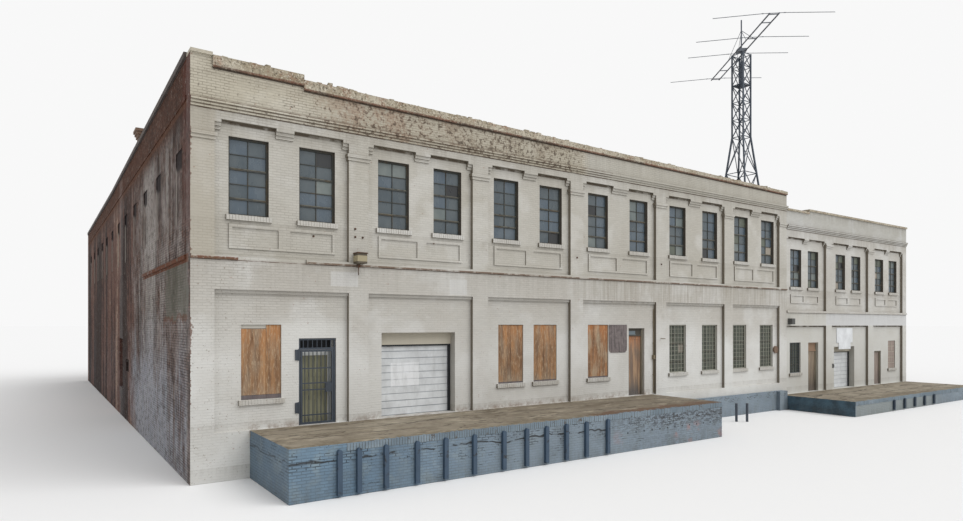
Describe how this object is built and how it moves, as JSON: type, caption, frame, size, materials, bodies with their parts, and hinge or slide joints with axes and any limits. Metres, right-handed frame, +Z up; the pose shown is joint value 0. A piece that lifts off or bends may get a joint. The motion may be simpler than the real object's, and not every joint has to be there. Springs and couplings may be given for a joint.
{
  "type": "two-storey brick factory building",
  "caption": "Flat-roofed brick factory with a lower annexe, bays of paired windows, loading docks, hinged doors and a roof mast with a turning beam aerial.",
  "frame": {"origin": "middle of the footprint's bounding box, at the lowest ground level", "axes": "+X right along the front, +Y into the building, +Z up"},
  "size_m": [37.57, 38.9, 18.0403],
  "materials": {
    "painted_brick": "matte, worn cream paint on brick",
    "old_brick": "matte, weathered brick",
    "coping": "matte, weathered mortar cap",
    "concrete": "matte, broom finished",
    "floor_timber": "matte, planked",
    "roofing": "matte, rolled roofing",
    "blue_brick": "matte, worn blue paint on brick",
    "window_steel": "satin, weathered",
    "window_glass": "glossy, dusty",
    "guard_steel": "satin, weathered",
    "plywood": "matte, weathered",
    "frame_wood": "matte, flaking paint",
    "gate_steel": "satin",
    "olive_wood": "satin, worn paint",
    "door_white": "satin, dusty",
    "brown_wood": "matte, weathered",
    "tan_door": "matte, weathered",
    "red_door": "matte, weathered",
    "bumper_steel": "satin, worn",
    "fitting_metal": "matte, rusted",
    "sign_white": "satin",
    "mast_steel": "matte, galvanised",
    "aerial_metal": "satin, dulled"
  },
  "bodies": {
    "building": {"front_foundation": "old_brick", "annex_foundation": "painted_brick", "front_wall_ground": "painted_brick", "annex_wall_ground": "painted_brick", "walls_over_doors": "painted_brick", "front_wall_upper": "painted_brick", "annex_wall_upper": "painted_brick", "front_parapet": "painted_brick", "annex_parapet_wall": "painted_brick", "front_copings": "coping", "side_wall": "old_brick", "rear_wall": "old_brick", "annex_rear_wall": "old_brick", "party_wall": "old_brick", "end_wall": "old_brick", "side_copings": "coping", "ground_floors": "concrete", "upper_floors": "floor_timber", "roofs": "roofing", "window_sashes": "window_steel", "window_glass": "window_glass", "window_guards": "guard_steel", "window_boards": "plywood", "door_posts": "frame_wood", "door_heads": "frame_wood", "gate_posts": "gate_steel", "gate_grille": "gate_steel", "overhead_doors": "door_white", "dock_decks": "concrete", "dock_fronts": "blue_brick", "dock_ends": "blue_brick", "dock_bumpers": "bumper_steel", "foundation_ledge": "blue_brick", "chimney": "old_brick", "wall_fittings": "fitting_metal", "blank_sign": "sign_white", "mast_lattice": "mast_steel", "mast_platform": "mast_steel"},
    "gate": {"security_gate": "gate_steel"},
    "entry": {"entry_door": "olive_wood"},
    "store": {"store_door": "brown_wood"},
    "annex_wood": {"annex_wood_door": "brown_wood"},
    "annex_narrow": {"annex_narrow_door": "tan_door"},
    "side": {"side_door": "red_door"},
    "aerial": {"rotor_mast": "mast_steel", "aerial_booms": "aerial_metal", "aerial_elements": "aerial_metal", "boom_stays": "mast_steel"}
  },
  "joints": [
    {"name": "gate_swing", "type": "hinge", "parent": "building", "child": "gate", "pos_m": [-15.9527, -15.96, 2.28], "axis": [0, 0, -1], "range_deg": [0, 95]},
    {"name": "entry_swing", "type": "hinge", "parent": "building", "child": "entry", "pos_m": [-15.951, -15.6477, 2.18], "axis": [0, 0, 1], "range_deg": [0, 95]},
    {"name": "store_swing", "type": "hinge", "parent": "building", "child": "store", "pos_m": [-3.561, -15.7877, 2.18], "axis": [0, 0, 1], "range_deg": [0, 95]},
    {"name": "annex_wood_swing", "type": "hinge", "parent": "building", "child": "annex_wood", "pos_m": [8.759, -15.7877, 1.63], "axis": [0, 0, 1], "range_deg": [0, 95]},
    {"name": "annex_narrow_swing", "type": "hinge", "parent": "building", "child": "annex_narrow", "pos_m": [15.299, -15.8377, 1.53], "axis": [0, 0, 1], "range_deg": [0, 95]},
    {"name": "side_swing", "type": "hinge", "parent": "building", "child": "side", "pos_m": [-18.3527, -0.774, 2.18], "axis": [0, 0, 1], "range_deg": [0, 95]},
    {"name": "aerial_turn", "type": "hinge", "parent": "building", "child": "aerial", "pos_m": [5.5, -14.56, 15.5], "axis": [0, 0, 1], "range_deg": [-180, 180]}
  ]
}
